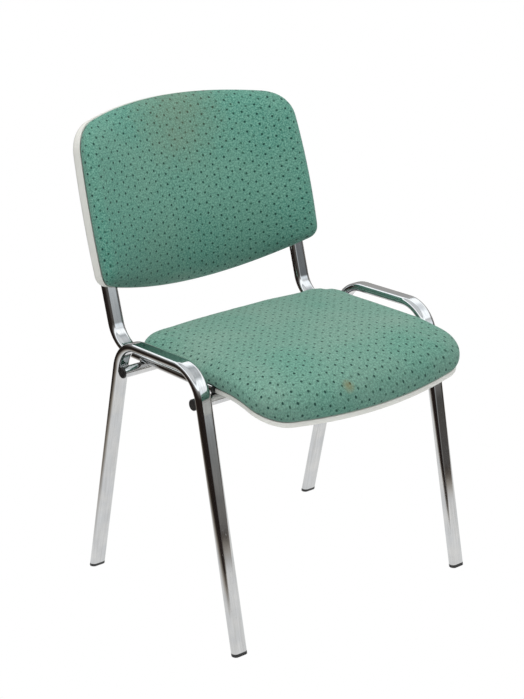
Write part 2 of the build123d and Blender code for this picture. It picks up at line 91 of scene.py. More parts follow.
def ramp(tree, factor, *stops):
    node = add_node(tree, "ShaderNodeValToRGB", Fac=factor)
    points = node.color_ramp.elements
    while len(points) < len(stops):
        points.new(0.5)
    for point, (position, value) in zip(points, stops):
        point.position = position
        point.color = linear(value) if isinstance(value, str) else (value, value, value, 1.0)
    return node.outputs[0]


def speckle(tree, place, scale, detail=2.0, roughness=0.5):
    kind = "ShaderNodeTexNoise"
    return add_node(tree, kind, Vector=place, Scale=scale, Detail=detail, Roughness=roughness).outputs[0]


def new_material(name, **settings):
    made = bpy.data.materials.new(name)
    made.use_nodes = True
    tree = made.node_tree
    shader = tree.nodes["Principled BSDF"]
    for key, value in settings.items():
        shader.inputs[key.replace("_", " ")].default_value = value
    return made, tree, shader


def attach(tree, shader, **links):
    for key, source in links.items():
        tree.links.new(source, shader.inputs[key.replace("_", " ")])


chrome, tree, shader = new_material("chrome_plate", Metallic=1.0)
place = add_node(tree, "ShaderNodeTexCoord").outputs["Object"]
haze = speckle(tree, place, 38.0, 3.0)
drawn = add_node(tree, "ShaderNodeMapping", Vector=place, Scale=(420.0, 60.0, 6.0)).outputs[0]
streaks = ramp(tree, speckle(tree, drawn, 1.0, 3.0, 0.6), (0.35, 0.0), (0.75, 1.0))
specks = ramp(tree, speckle(tree, place, 420.0), (0.66, 0.0), (0.74, 1.0))
rough = calc(tree, "MULTIPLY_ADD", haze, 0.05, calc(tree, "MULTIPLY_ADD", specks, 0.14, 0.03))
rough = calc(tree, "MULTIPLY_ADD", streaks, 0.07, rough)
tint = blend_colours(tree, ramp(tree, haze, (0.35, 0.0), (0.7, 1.0)), linear("#C6C8CA"), linear("#D2D2D1"))
tint = blend_colours(tree, calc(tree, "MULTIPLY", streaks, 0.5), tint, linear("#A9A8A5"))
ripple = speckle(tree, place, 14.0, 1.0)
waves = add_node(tree, "ShaderNodeBump", Strength=0.10, Distance=0.0015, Height=ripple)
attach(tree, shader, Base_Color=tint, Roughness=rough, Normal=waves.outputs[0])


def node_tree(title, **inputs):
    tree = bpy.data.node_groups.new(title, "GeometryNodeTree")
    tree.interface.new_socket("Geometry", in_out="INPUT", socket_type="NodeSocketGeometry")
    for key, kind in inputs.items():
        name = key.replace("_", " ")
        tree.interface.new_socket(name, in_out="INPUT", socket_type="NodeSocket" + kind)
    tree.interface.new_socket("Geometry", in_out="OUTPUT", socket_type="NodeSocketGeometry")
    return tree, add_node(tree, "NodeGroupInput").outputs


def grown(name, points, edges, tree, **sizes):
    """The node tree is run once over the points and edges; the result is a plain mesh."""
    seed = bpy.data.meshes.new(name)
    seed.from_pydata(points, edges, [])
    made = bpy.data.objects.new(name, seed)
    bpy.context.scene.collection.objects.link(made)
    modifier = made.modifiers.new("shape", "NODES")
    modifier.node_group = tree
    sockets = {item.name: item.identifier for item in tree.interface.items_tree if item.in_out == "INPUT"}
    for key, value in sizes.items():
        modifier[sockets[key.replace("_", " ")]] = value
    bpy.context.view_layer.update()
    shape = bpy.data.meshes.new_from_object(made.evaluated_get(bpy.context.evaluated_depsgraph_get()))
    made.modifiers.clear()
    made.data = shape
    return made


bent_tube, given = node_tree(
    "bent_flat_oval_tube", Width="Float", Depth="Float", Bend_radius="Float", Finish="Material"
)
line = add_node(bent_tube, "GeometryNodeMeshToCurve", Mesh=given["Geometry"]).outputs[0]
bends = add_node(
    bent_tube, "GeometryNodeFilletCurve", mode="POLY", Curve=line, Count=30, Radius=given["Bend radius"]
)
half_depth = calc(bent_tube, "MULTIPLY", given["Depth"], 0.4999)
box = add_node(
    bent_tube, "GeometryNodeCurvePrimitiveQuadrilateral", Width=given["Width"], Height=given["Depth"]
)
oval = add_node(
    bent_tube, "GeometryNodeFilletCurve", mode="POLY", Curve=box.outputs[0], Count=12, Radius=half_depth
)
even = add_node(bent_tube, "GeometryNodeResampleCurve", mode="COUNT", Curve=oval.outputs[0], Count=76)
swept = add_node(
    bent_tube,
    "GeometryNodeCurveToMesh",
    Curve=bends.outputs[0],
    Profile_Curve=even.outputs[0],
    Fill_Caps=True,
)
smooth = add_node(bent_tube, "GeometryNodeSetShadeSmooth", Geometry=swept.outputs[0])
plated = add_node(bent_tube, "GeometryNodeSetMaterial", Geometry=smooth.outputs[0], Material=given["Finish"])
whole = add_node(bent_tube, "GeometryNodeRealizeInstances", Geometry=plated.outputs[0])
add_node(bent_tube, "NodeGroupOutput", Geometry=whole.outputs[0])

TUBE_WIDTH, TUBE_DEPTH = 0.030, 0.015
LEG_LEAN = math.tan(math.radians(12.4))
RAIL_FALL = math.tan(math.radians(2.75))
FRONT_FOOT, REAR_FOOT, RAIL_FRONT = -0.2515, 0.1705, 0.4805
FLOOR_GAP, ENDS_BELOW = 0.0055, 0.02
rail_y = FRONT_FOOT + RAIL_FRONT * LEG_LEAN
rail_rear = (RAIL_FRONT - RAIL_FALL * (REAR_FOOT - rail_y)) / (1 - RAIL_FALL * LEG_LEAN)
corners = [
    (FRONT_FOOT, 0.0),
    (rail_y, RAIL_FRONT),
    (REAR_FOOT - rail_rear * LEG_LEAN, rail_rear),
    (REAR_FOOT, 0.0),
]
for side in ("left", "right"):
    low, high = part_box(side + "_side_frame")
    x = (low[0] + high[0]) / 2
    legs = grown(
        side + "_leg_tube",
        [(x, y, z) for y, z in corners],
        [(0, 1), (1, 2), (2, 3)],
        bent_tube,
        Width=TUBE_WIDTH,
        Depth=TUBE_DEPTH,
        Bend_radius=0.060,
        Finish=chrome,
    )
    for vertex in legs.data.vertices:
        if vertex.co.z < ENDS_BELOW:
            rise = FLOOR_GAP - vertex.co.z
            vertex.co.y += rise * LEG_LEAN * (1 if vertex.co.y < 0 else -1)
            vertex.co.z = FLOOR_GAP
    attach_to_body(legs, "root")
    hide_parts(side + "_side_frame")


# Cross tubes: two round 20 mm steel tubes join the side frames, one behind the front legs
# and one before the rear legs, and carry the seat. They are chromed with the frame.
def paint(names, finish):
    for name in names:
        nodes[name].data.materials.clear()
        nodes[name].data.materials.append(finish)


paint(["front_cross_tube", "rear_cross_tube"], chrome)

# Back supports: a flat-oval tube on each side lies on the cross tubes under the seat, then
# bends up through a slot in the back's cover and is bolted to the back's panel.
CROSS_LOW, CROSS_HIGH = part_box("front_cross_tube")
SEAT_FALL, BACK_LEAN = math.radians(1.5), math.radians(16.3)
SEAT_FOOT = Vector((0, (CROSS_LOW[1] + CROSS_HIGH[1]) / 2, (CROSS_LOW[2] + CROSS_HIGH[2]) / 2))
SEAT_ALONG = Vector((0, math.cos(SEAT_FALL), -math.sin(SEAT_FALL)))
SEAT_UP = Vector((0, math.sin(SEAT_FALL), math.cos(SEAT_FALL)))
BACK_FOOT_IN, BACK_FOOT_HEIGHT = 0.10591, 0.529
BACK_FOOT = Vector((0, cad_high[1] - BACK_FOOT_IN, BACK_FOOT_HEIGHT))
BACK_ALONG = Vector((0, math.sin(BACK_LEAN), math.cos(BACK_LEAN)))
BACK_FORWARD = Vector((0, -math.cos(BACK_LEAN), math.sin(BACK_LEAN)))
SUPPORT_OVER_CROSS, SUPPORT_REACH, SUPPORT_IN_BACK, SUPPORT_CLIMB = 0.0176, 0.0005, 0.03639, 0.245
for side in ("left", "right"):
    low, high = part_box(side + "_back_support")
    x = (low[0] + high[0]) / 2
    start = SEAT_FOOT - SEAT_ALONG * SUPPORT_REACH + SEAT_UP * SUPPORT_OVER_CROSS
    behind = BACK_FOOT + BACK_FORWARD * SUPPORT_IN_BACK
    reach = (behind - start).cross(BACK_ALONG).x / SEAT_ALONG.cross(BACK_ALONG).x
    run = [start, start + SEAT_ALONG * reach, behind + BACK_ALONG * SUPPORT_CLIMB]
    support = grown(
        side + "_support_tube",
        [(x, point.y, point.z) for point in run],
        [(0, 1), (1, 2)],
        bent_tube,
        Width=TUBE_WIDTH,
        Depth=TUBE_DEPTH,
        Bend_radius=0.055,
        Finish=chrome,
    )
    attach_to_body(support, "root")
    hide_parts(side + "_back_support")

# Welds: short rippled beads on both sides of each place where a tube meets a cross tube,
# or on the rear side alone under the supports' plugged ends. They are chromed too.
weld_bead, given = node_tree(
    "weld_bead", Ripple_spacing="Float", Ripple_radius="Float", Finish="Material"
)
line = add_node(weld_bead, "GeometryNodeMeshToCurve", Mesh=given["Geometry"]).outputs[0]
steps = add_node(
    weld_bead, "GeometryNodeResampleCurve", mode="LENGTH", Curve=line, Length=given["Ripple spacing"]
)
drop = add_node(weld_bead, "GeometryNodeMeshIcoSphere", Radius=given["Ripple radius"], Subdivisions=2)
uneven = add_node(weld_bead, "FunctionNodeRandomValue", data_type="FLOAT", i2=0.85, i3=1.12, Seed=5)
laid = add_node(
    weld_bead,
    "GeometryNodeInstanceOnPoints",
    Points=steps.outputs[0],
    Instance=drop.outputs[0],
    Scale=uneven.outputs[1],
)
whole = add_node(weld_bead, "GeometryNodeRealizeInstances", Geometry=laid.outputs[0])
smooth = add_node(weld_bead, "GeometryNodeSetShadeSmooth", Geometry=whole.outputs[0])
plated = add_node(weld_bead, "GeometryNodeSetMaterial", Geometry=smooth.outputs[0], Material=given["Finish"])
add_node(weld_bead, "NodeGroupOutput", Geometry=plated.outputs[0])

CROSS_RADIUS, BEAD_SINK, BEAD_SIDE, BEAD_HALF_LENGTH = 0.010, 0.0014, 0.0060, 0.0070
points, edges = [], []
for tube_name, lean in (("front_cross_tube", LEG_LEAN), ("rear_cross_tube", -LEG_LEAN)):
    low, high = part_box(tube_name)
    axis = Vector((0, (low[1] + high[1]) / 2, (low[2] + high[2]) / 2))
    leg_way = Vector((0, lean, 1)).normalized()
    to_leg = Vector((0, -1 if lean > 0 else 1, abs(lean))).normalized()
    for name, way, outward in (("side_frame", leg_way, to_leg), ("back_support", SEAT_ALONG, SEAT_UP)):
        for side in ("left", "right"):
            low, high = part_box(side + "_" + name)
            x = (low[0] + high[0]) / 2
            plugged_end = name == "back_support" and tube_name == "front_cross_tube"
            for bead in (BEAD_SIDE,) if plugged_end else (-BEAD_SIDE, BEAD_SIDE):
                middle = axis + outward * (CROSS_RADIUS - BEAD_SINK) + way * bead
                edges.append((len(points), len(points) + 1))
                for end in (-BEAD_HALF_LENGTH, BEAD_HALF_LENGTH):
                    points.append((x + end, middle.y, middle.z))
welds = grown(
    "weld_beads", points, edges, weld_bead, Ripple_spacing=0.0014, Ripple_radius=0.0019, Finish=chrome
)
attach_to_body(welds, "root")

# Glides and plugs: black polyethylene mouldings pushed into the open tube ends. Feet and
# hands have rubbed them to a dull sheen with paler scuffs.
black, tree, shader = new_material("black_polyethylene", IOR=1.51)
place = add_node(tree, "ShaderNodeTexCoord").outputs["Object"]
scuffs = speckle(tree, place, 260.0, 4.0)
worn = ramp(tree, scuffs, (0.48, 0.0), (0.78, 1.0))
bump = add_node(tree, "ShaderNodeBump", Strength=0.2, Distance=0.0004, Height=scuffs)
attach(
    tree,
    shader,
    Base_Color=blend_colours(tree, worn, linear("#1A1A1B"), linear("#37352F")),
    Roughness=ramp(tree, scuffs, (0.3, 0.34), (0.7, 0.52)),
    Normal=bump.outputs[0],
)
paint([name for name in nodes if name.endswith(("glide", "plug"))], black)

# Seat board and back panel: pressed beech plywood, bare where the cloth isn't stapled
# over it. Veneer grain runs across the chair.
plywood, tree, shader = new_material("beech_plywood", Roughness=0.62)
place = add_node(tree, "ShaderNodeTexCoord").outputs["Object"]
along = add_node(tree, "ShaderNodeMapping", Vector=place, Scale=(6.0, 160.0, 160.0)).outputs[0]
grain = speckle(tree, along, 4.0, 5.0, 0.6)
bump = add_node(tree, "ShaderNodeBump", Strength=0.15, Distance=0.0004, Height=grain)
attach(
    tree,
    shader,
    Base_Color=ramp(tree, grain, (0.3, "#B98E63"), (0.55, "#CFA77B"), (0.75, "#DDBB92")),
    Normal=bump.outputs[0],
)
paint(["seat_board", "back_panel"], plywood)

# Bolts, nuts and cover screws: cold-formed steel, zinc plated, slightly mottled.
zinc, tree, shader = new_material("zinc_plate", Metallic=1.0)
place = add_node(tree, "ShaderNodeTexCoord").outputs["Object"]
mottle = speckle(tree, place, 600.0, 3.0)
attach(
    tree,
    shader,
    Base_Color=ramp(tree, mottle, (0.3, "#9A9C9C"), (0.7, "#C4C5C1")),
    Roughness=ramp(tree, mottle, (0.3, 0.24), (0.7, 0.42)),
)
paint([name for name in nodes if name.endswith(("bolts", "nuts", "screws"))], zinc)

# Seat pan and back cover: injection-moulded polypropylene, off-white, with a fine spark
# texture that gives a soft sheen, and faint handling marks.
cream, tree, shader = new_material("cream_polypropylene", IOR=1.49)
place = add_node(tree, "ShaderNodeTexCoord").outputs["Object"]
pores = speckle(tree, place, 1400.0)
cloud = ramp(tree, speckle(tree, place, 9.0, 4.0), (0.38, 0.0), (0.72, 1.0))
marks = ramp(tree, speckle(tree, place, 75.0, 5.0, 0.65), (0.62, 0.0), (0.78, 1.0))
clean = blend_colours(tree, cloud, linear("#D6D6D0"), linear("#CECDC6"))
bump = add_node(tree, "ShaderNodeBump", Strength=0.22, Distance=0.00012, Height=pores)
attach(
    tree,
    shader,
    Base_Color=blend_colours(tree, calc(tree, "MULTIPLY", marks, 0.35), clean, linear("#BDB6AA")),
    Roughness=calc(tree, "MULTIPLY_ADD", cloud, 0.08, 0.40),
    Normal=bump.outputs[0],
)
paint(["seat_pan", "back_shell"], cream)

# Seat cushion: moulded foam on the board under one piece of woven wool-blend cloth, which
# is pulled over the board's edge and stands on the pan's rim. The cloth is heathered
# green with small dark dots in a regular repeat, dusty and faded where people sit.
cloth, tree, shader = new_material("dotted_wool_cloth", IOR=1.45, Sheen_Weight=0.2, Sheen_Roughness=0.55)
shader.inputs["Sheen Tint"].default_value = linear("#CFE3DA")
shader.inputs["Specular IOR Level"].default_value = 0.2
flat = add_node(tree, "ShaderNodeUVMap", uv_map="cloth").outputs[0]
place = add_node(tree, "ShaderNodeTexCoord").outputs["Object"]
pull = add_node(tree, "ShaderNodeTexNoise", Vector=flat, Scale=18.0, Detail=1.0).outputs[1]
shift = add_node(
    tree, "ShaderNodeVectorMath", operation="MULTIPLY_ADD", i0=pull, i1=(0.004, 0.004, 0), i2=flat
)
split = add_node(tree, "ShaderNodeSeparateXYZ", Vector=shift.outputs[0])
REPEAT_ACROSS, REPEAT_ALONG, DOT_RADIUS = 0.054, 0.019, 0.0025


def dots(*centres):
    """1 inside the woven dots of the repeat, 0 outside."""
    found = None
    for x, y in centres:
        across = calc(tree, "SUBTRACT", split.outputs[0], x)
        along = calc(tree, "SUBTRACT", split.outputs[1], y)
        across = calc(tree, "WRAP", across, REPEAT_ACROSS / 2, -REPEAT_ACROSS / 2)
        along = calc(tree, "WRAP", along, REPEAT_ALONG / 2, -REPEAT_ALONG / 2)
        across = calc(tree, "MULTIPLY", across, across)
        far = calc(tree, "SQRT", calc(tree, "MULTIPLY_ADD", along, along, across))
        found = far if found is None else calc(tree, "MINIMUM", found, far)
    ragged = calc(tree, "MULTIPLY_ADD", speckle(tree, flat, 700.0), 0.0008, -0.0004)
    edge = calc(tree, "DIVIDE", calc(tree, "ADD", found, ragged), DOT_RADIUS)
    return ramp(tree, edge, (0.75, 1.0), (1.0, 0.0))


main_dots = dots((0.0, 0.0), (0.027, 0.0095))
minor_dots = dots((0.0105, 0.0095), (0.0375, 0.0))
fibre = speckle(tree, flat, 330.0, 3.0, 0.75)
fleck = speckle(tree, flat, 210.0, 2.0, 0.6)
height = add_node(tree, "ShaderNodeSeparateXYZ", Vector=place).outputs[2]
on_the_seat = ramp(tree, height, (0.50, 1.0), (0.53, 0.0))
fade = ramp(tree, speckle(tree, place, 7.0, 3.0), (0.36, 0.0), (0.68, 1.0))
unworn = blend_colours(tree, on_the_seat, linear("#3A7163"), linear("#4B7869"))
dusty = blend_colours(tree, on_the_seat, linear("#4C7768"), linear("#648073"))
body = blend_colours(tree, fade, unworn, dusty)
body = blend_colours(tree, ramp(tree, fibre, (0.42, 0.0), (0.62, 0.55)), body, linear("#84B2A1"))
body = blend_colours(tree, ramp(tree, fleck, (0.34, 0.38), (0.52, 0.0)), body, linear("#285245"))
# Painted shade: the front of the seat, where it turns down away from the lamp, is darkened; the back is also
# darker towards its foot.
seat_front_painted_shade = ramp(tree, height, (0.44, 1.0), (0.47, 0.0))
foot_of_back = calc(tree, "SUBTRACT", ramp(tree, height, (0.53, 1.0), (0.65, 0.0)), on_the_seat)
seat_front_shade_and_back_foot = calc(tree, "MAXIMUM", seat_front_painted_shade, foot_of_back)
body = blend_colours(tree, calc(tree, "MULTIPLY", seat_front_shade_and_back_foot, 0.28), body, linear("#1D4C40"))
strength = ramp(tree, speckle(tree, flat, 30.0), (0.35, 0.6), (0.65, 0.95))
body = blend_colours(tree, calc(tree, "MULTIPLY", minor_dots, strength), body, linear("#17382F"))
body = blend_colours(tree, calc(tree, "MULTIPLY", main_dots, 0.95), body, linear("#0F302B"))


def soil(x, y, z, radius):
    """1 at a soiled place on the chair, fading to 0 at the radius."""
    away = add_node(tree, "ShaderNodeVectorMath", operation="DISTANCE", i0=place, i1=(x, y, z))
    uneven = calc(tree, "MULTIPLY_ADD", speckle(tree, place, 45.0, 3.0), radius * 0.8, radius * -0.4)
    away = calc(tree, "ADD", away.outputs["Value"], uneven)
    return ramp(tree, calc(tree, "DIVIDE", away, radius), (0.2, 1.0), (1.0, 0.0))


worn = calc(tree, "MULTIPLY", soil(0.0, 0.28, 0.80, 0.13), 0.27)
body = blend_colours(tree, worn, body, linear("#6C6550"))
spill = calc(tree, "MULTIPLY", soil(-0.06, -0.291, 0.449, 0.014), 0.5)
body = blend_colours(tree, spill, body, linear("#75622F"))
# Yarns are about 1 mm apart. They are drawn 2.2 mm apart, which is as fine as shows.
YARN_PITCH = 0.0022
WEAVE = 2 * math.pi / YARN_PITCH
warp = calc(tree, "SINE", calc(tree, "MULTIPLY", split.outputs[0], WEAVE))
weft = calc(tree, "SINE", calc(tree, "MULTIPLY", split.outputs[1], WEAVE))
weave = calc(tree, "MULTIPLY_ADD", calc(tree, "MULTIPLY", warp, weft), 0.3, fibre)
bump = add_node(tree, "ShaderNodeBump", Strength=0.45, Distance=0.0006, Height=weave)
attach(tree, shader, Base_Color=body, Normal=bump.outputs[0])
shader.inputs["Roughness"].default_value = 0.92


def arc(start, middle, end, spacing=0.0005):
    (x1, y1), (x2, y2), (x3, y3) = start, middle, end
    d = 2 * (x1 * (y2 - y3) + x2 * (y3 - y1) + x3 * (y1 - y2))
    sq1, sq2, sq3 = x1 * x1 + y1 * y1, x2 * x2 + y2 * y2, x3 * x3 + y3 * y3
    cx = (sq1 * (y2 - y3) + sq2 * (y3 - y1) + sq3 * (y1 - y2)) / d
    cy = (sq1 * (x3 - x2) + sq2 * (x1 - x3) + sq3 * (x2 - x1)) / d
    radius = math.hypot(x1 - cx, y1 - cy)
    first, last = math.atan2(y1 - cy, x1 - cx), math.atan2(y3 - cy, x3 - cx)
    last += 2 * math.pi * round((first - last) / (2 * math.pi))
    angles = np.linspace(first, last, max(3, int(abs(last - first) * radius / spacing)))
    return np.c_[cx + radius * np.cos(angles), cy + radius * np.sin(angles)]


def segment(start, end, spacing=0.0005):
    return np.linspace(start, end, int(math.dist(start, end) / spacing))


def inward(line, closed=False):
    """Unit normals on the left of the line, which is the inside of an outline."""
    run = np.roll(line, -1, 0) - np.roll(line, 1, 0) if closed else np.gradient(line, axis=0)
    run /= np.linalg.norm(run, axis=1)[:, None]
    return np.c_[-run[:, 1], run[:, 0]]


def join_rounded(before, after, radius, side=1):
    a = before + inward(before) * radius * side
    b = after + inward(after) * radius * side
    gap = np.linalg.norm(a[:, None] - b[None], axis=2)
    i, j = np.unravel_index(gap.argmin(), gap.shape)
    centre = (a[i] + b[j]) / 2
    p, q = before[i] - centre, after[j] - centre
    first, last = math.atan2(p[1], p[0]), math.atan2(q[1], q[0])
    last += 2 * math.pi * round((first - last) / (2 * math.pi))
    angles = np.linspace(first, last, 40)[1:-1]
    bend = centre + radius * np.c_[np.cos(angles), np.sin(angles)]
    return np.vstack([before[: i + 1], bend, after[j:]])


def both_halves(half, count):
    line = np.vstack([half, (half * (-1, 1))[::-1][1:-1]])
    line = np.vstack([line, line[:1]])
    run = np.r_[0, np.cumsum(np.linalg.norm(np.diff(line, axis=0), axis=1))]
    at = np.linspace(0, run[-1], count + 1)[:-1]
    return np.c_[np.interp(at, run, line[:, 0]), np.interp(at, run, line[:, 1])]


def shrink(ring, distance):
    """The ring moved inwards in small steps, evened out so that corners don't fold."""
    steps, gentle_steps = max(1, int(abs(distance) * 1500)), 28
    for step in range(steps):
        evening = 0.1 if step < gentle_steps else 0.25
        ring = ring + inward(ring, True) * (distance / steps)
        ring = ring * (1 - 2 * evening) + (np.roll(ring, 1, 0) + np.roll(ring, -1, 0)) * evening
    return ring


def edge_distance(points, ring):
    a, ab = ring, np.roll(ring, -1, 0) - ring
    out = []
    for point in points:
        t = np.clip(((point - a) * ab).sum(1) / (ab * ab).sum(1), 0, 1)
        out.append(np.linalg.norm(point - a - ab * t[:, None], axis=1).min())
    return np.array(out)


def shoulder(bottom, top, depth, steps=12):
    """(inset, height) up a quarter of an ellipse from the side into the top."""
    rise = []
    for k in range(1, steps + 1):
        a = math.pi / 2 * k / steps
        rise.append((depth * (1 - math.cos(a)), bottom + (top - bottom) * math.sin(a)))
    return rise


def cushion(name, outline, put, pocket, side, crown, crown_width, spacing=0.0065):
    """pocket and side are (inset, height) pairs, from the hollow for the board out to the
    border and from the border up into the top, which then rises by crown."""
    outer, turned_under, held_rings = -inward(outline, True), 0.008, 4
    top_inset, top_height = side[-1]
    top_ring = shrink(outline, top_inset)
    rings, plan, spread = [], [], 0.0
    for inset, height in reversed(side):
        if rings:
            spread += math.hypot(inset - last[0], height - last[1])
        last = (inset, height)
        rings.append((shrink(outline, inset) if inset > 0 else outline - outer * inset, height))
        plan.append(top_ring + outer * spread)
    for inset, height in reversed(pocket):
        rings.append((shrink(outline, inset), height))
        plan.append(plan[len(side) - 1] + outer * turned_under)
    count = len(outline)
    vertices = [put(x, y, height) for ring, height in rings for x, y in ring]
    uvs = [uv for ring in plan for uv in ring]
    faces = []
    for k in range(len(rings) - 1):
        for m in range(count):
            n = (m + 1) % count
            faces.append((k * count + m, (k + 1) * count + m, (k + 1) * count + n, k * count + n))
    for ring, first, top in ((rings[0][0], 0, True), (rings[-1][0], (len(rings) - 1) * count, False)):
        low, high = ring.min(0), ring.max(0)
        grid = np.array(
            [
                (x, y)
                for y in np.arange(low[1] + spacing / 2, high[1], spacing)
                for x in np.arange(low[0] + spacing / 2, high[0], spacing)
            ]
        )
        turn = np.zeros(len(grid))
        for p, q in zip(ring, np.roll(ring, -1, 0)):
            u, v = p - grid, q - grid
            turn += np.arctan2(u[:, 0] * v[:, 1] - u[:, 1] * v[:, 0], (u * v).sum(1))
        grid = grid[abs(turn) > 3]
        grid = grid[edge_distance(grid, ring) > spacing * 0.6]
        found = geometry.delaunay_2d_cdt(
            [Vector(p) for p in ring] + [Vector(p) for p in grid],
            [(m, (m + 1) % count) for m in range(count)],
            [],
            1,
            1e-7,
        )
        inside = edge_distance(np.array(found[0]), ring)
        index = {}
        for n, point in enumerate(found[0]):
            sources = found[3][n]
            if sources and sources[0] < count:
                index[n] = first + sources[0]
                continue
            index[n] = len(vertices)
            height = rings[-1][1]
            if top:
                t = min(1.0, inside[n] / crown_width)
                height = top_height + crown * (1 - (1 - t) ** 2)
            vertices.append(put(point.x, point.y, height))
            uvs.append(np.array(point))
        for face in found[2]:
            corners = [index[n] for n in face]
            faces.append(corners if top else corners[::-1])
    mesh = bpy.data.meshes.new(name)
    mesh.from_pydata(vertices, [], faces)
    mesh.validate()
    mesh.materials.append(cloth)
    layer = mesh.uv_layers.new(name="cloth")
    for loop in mesh.loops:
        layer.data[loop.index].uv = uvs[loop.vertex_index]
    made = bpy.data.objects.new(name, mesh)
    bpy.context.scene.collection.objects.link(made)
    held = made.vertex_groups.new(name="held")
    held.add(list(range((len(side) - held_rings) * count, len(rings) * count)), 1.0, "REPLACE")
    bottom = {n for face in faces[-len(found[2]) :] for n in face}
    held.add(sorted(bottom), 1.0, "REPLACE")
    return made


def swell(piece, pressure, limit):
    """Foam pressing out against the cloth, which is held round its border."""
    mesh = piece.data
    before = np.empty(len(mesh.vertices) * 3)
    mesh.vertices.foreach_get("co", before)
    before = before.reshape(-1, 3)
    foam = piece.modifiers.new("foam", "CLOTH")
    foam.settings.use_pressure = True
    foam.settings.uniform_pressure_force = pressure
    foam.settings.vertex_group_mass = "held"
    foam.settings.effector_weights.gravity = 0.0
    foam.settings.bending_stiffness = 2.0
    foam.point_cache.frame_start, foam.point_cache.frame_end = 1, 20
    for step in range(1, 21):
        bpy.context.scene.frame_set(step)
    pressed = piece.evaluated_get(bpy.context.evaluated_depsgraph_get()).to_mesh()
    after = np.empty(len(mesh.vertices) * 3)
    pressed.vertices.foreach_get("co", after)
    move = after.reshape(-1, 3) - before
    far = np.linalg.norm(move, axis=1)
    move *= (limit * np.tanh(far / limit) / np.maximum(far, 1e-9))[:, None]
    piece.modifiers.clear()
    mesh.vertices.foreach_set("co", (before + move).ravel())
    bpy.context.scene.frame_set(1)
    for face in mesh.polygons:
        face.use_smooth = True
    finer = piece.modifiers.new("finer", "SUBSURF")
    finer.levels = finer.render_levels = 1
    finer.uv_smooth = "PRESERVE_BOUNDARIES"


SEAT_LIP, WATERFALL_RUN, WATERFALL_RADIUS = 0.0191, 0.143, 0.280
SEAT_DEPTH, SEAT_FRONT = 0.409, -0.17003
CLOTH_CLEAR, TUBE_ROUND = 0.0004, TUBE_DEPTH / 2
SUPPORT_TOP = SUPPORT_OVER_CROSS + TUBE_ROUND - SEAT_LIP + CLOTH_CLEAR
SUPPORT_INSIDE, SUPPORT_FLAT, SUPPORT_START = 0.200, 0.223, -0.003
RISE_ACROSS, RISE_ALONG = 0.010, 0.009


def on_seat(x, along, over):
    """The cloth's border is raised where it lies across the back supports."""
    beside = min(max((abs(x) - SUPPORT_INSIDE) / RISE_ACROSS + 1, 0), 1)
    behind = min(max((along - SUPPORT_START) / RISE_ALONG + 1, 0), 1)
    off_flat = min(max(abs(x) - SUPPORT_FLAT, 0), TUBE_ROUND)
    tube_top = SUPPORT_TOP - TUBE_ROUND + math.sqrt(TUBE_ROUND**2 - off_flat**2)
    over = max(over, tube_top * beside * behind)
    drop = SEAT_FRONT + WATERFALL_RUN - along
    up = SEAT_LIP + over
    if drop > 0:
        up = SEAT_LIP - WATERFALL_RADIUS + math.sqrt((WATERFALL_RADIUS + over) ** 2 - drop**2)
    return SEAT_FOOT + Vector((x, 0, 0)) + SEAT_ALONG * along + SEAT_UP * up


front_corner = (0.2305, SEAT_FRONT + 0.027)
waist, hip = (0.2265, SEAT_FRONT + 0.133), (0.2285, SEAT_FRONT + 0.395)
front_edge = arc((-front_corner[0], front_corner[1]), (0, SEAT_FRONT), front_corner)
rear_edge = arc(hip, (0, SEAT_FRONT + SEAT_DEPTH), (-hip[0], hip[1]))
half = join_rounded(front_edge[len(front_edge) // 2 :], segment(front_corner, waist), 0.059)
half = join_rounded(half, segment(waist, hip), 0.320, side=-1)
half = join_rounded(half, rear_edge[: len(rear_edge) // 2 + 1], 0.060)
border = [(0.0056, 0.0004), (0.0036, 0.0016), (0.0012, 0.0045), (-0.0010, 0.0085), (-0.0022, 0.0135)]
seat = cushion(
    "seat_cushion_cloth",
    both_halves(half, 260),
    on_seat,
    pocket=[(0.0064, 0.0172), (0.0060, 0.0100), (0.0060, 0.0004)],
    side=border + [(inset - 0.0024, height) for inset, height in shoulder(0.0185, 0.0405, 0.040)],
    crown=0.009,
    crown_width=0.140,
)
swell(seat, 4.0, 0.003)
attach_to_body(seat, "root")
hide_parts("seat_cushion")

# Back cushion: thinner foam on the curved panel under the same cloth, upright, its border
# standing on the cover's edge.
BACK_WRAP = 0.510


def on_back(x, along, over):
    radius = BACK_WRAP - over
    forward = BACK_WRAP - math.sqrt(radius**2 - x**2)
    return BACK_FOOT + Vector((x, 0, 0)) + BACK_ALONG * along + BACK_FORWARD * forward


low_half, high_half, tall, side_bow = 0.243, 0.2345, 0.274, 0.006
bottom_edge = arc((-low_half, 0), (0, -0.033), (low_half, 0))
outward = Vector((tall, low_half - high_half)).normalized() * side_bow
side_edge = arc(
    (low_half, 0), ((low_half + high_half) / 2 + outward.x, tall / 2 + outward.y), (high_half, tall)
)
top_edge = arc((high_half, tall), (0, tall + 0.035), (-high_half, tall))
half = join_rounded(bottom_edge[len(bottom_edge) // 2 :], side_edge, 0.024)
half = join_rounded(half, top_edge[: len(top_edge) // 2 + 1], 0.062)
border = [(0.0028, 0.0004), (0.0014, 0.0020), (0.0008, 0.0045), (0.0006, 0.0080)]
back = cushion(
    "back_cushion_cloth",
    both_halves(half, 280),
    on_back,
    pocket=[(0.0057, 0.0098), (0.0054, 0.0050), (0.0054, 0.0004)],
    side=border + [(inset + 0.0006, height) for inset, height in shoulder(0.0080, 0.0265, 0.029)],
    crown=0.008,
    crown_width=0.130,
)
swell(back, 4.0, 0.003)
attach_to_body(back, "root")
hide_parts("back_cushion")

